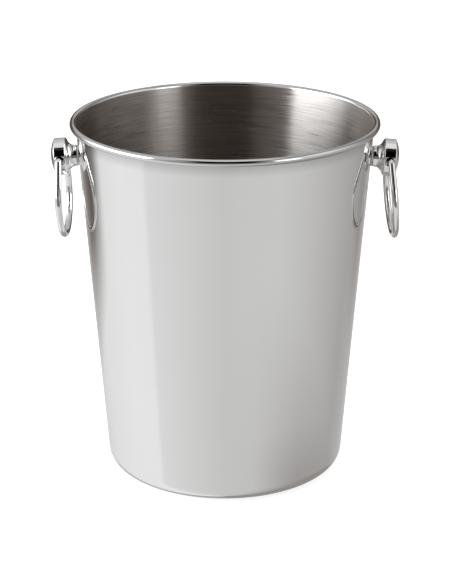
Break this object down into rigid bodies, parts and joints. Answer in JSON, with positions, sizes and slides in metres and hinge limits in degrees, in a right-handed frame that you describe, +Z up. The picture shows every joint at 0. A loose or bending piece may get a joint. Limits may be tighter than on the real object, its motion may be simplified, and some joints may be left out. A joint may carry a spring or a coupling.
{
  "type": "champagne bucket",
  "caption": "Tapered champagne bucket in polished steel, brushed inside, with a rolled rim and a round knob carrying a swinging ring handle on either side.",
  "frame": {"origin": "centre of the flat underside, on the surface the bucket stands on", "axes": "+Z up along the bucket's axis, +X towards the right-hand knob, -Y towards the viewer who sees a knob on each side"},
  "size_m": [0.229, 0.2026, 0.24],
  "materials": {
    "polished_steel": "mirror polished outside, brushed round inside",
    "knob_chrome": "mirror polished",
    "ring_chrome": "mirror polished",
    "plain_steel": "satin",
    "seal_rubber": "matte"
  },
  "bodies": {
    "bucket": {"bucket_shell": "polished_steel", "left_knob": "knob_chrome", "right_knob": "knob_chrome", "left_screw": "plain_steel", "right_screw": "plain_steel", "left_inner_washer": "plain_steel", "right_inner_washer": "plain_steel", "left_sealing_washer": "seal_rubber", "right_sealing_washer": "seal_rubber"},
    "left_handle": {"left_ring": "ring_chrome"},
    "right_handle": {"right_ring": "ring_chrome"}
  },
  "joints": [
    {"name": "left_ring_swing", "type": "hinge", "parent": "bucket", "child": "left_handle", "pos_m": [-0.10789, 0, 0.21357], "axis": [0.0454, 0.999, 0], "range_deg": [-12.5, 195]},
    {"name": "right_ring_swing", "type": "hinge", "parent": "bucket", "child": "right_handle", "pos_m": [0.10789, 0, 0.21357], "axis": [0.0489, -0.9988, 0], "range_deg": [-19, 189]}
  ]
}
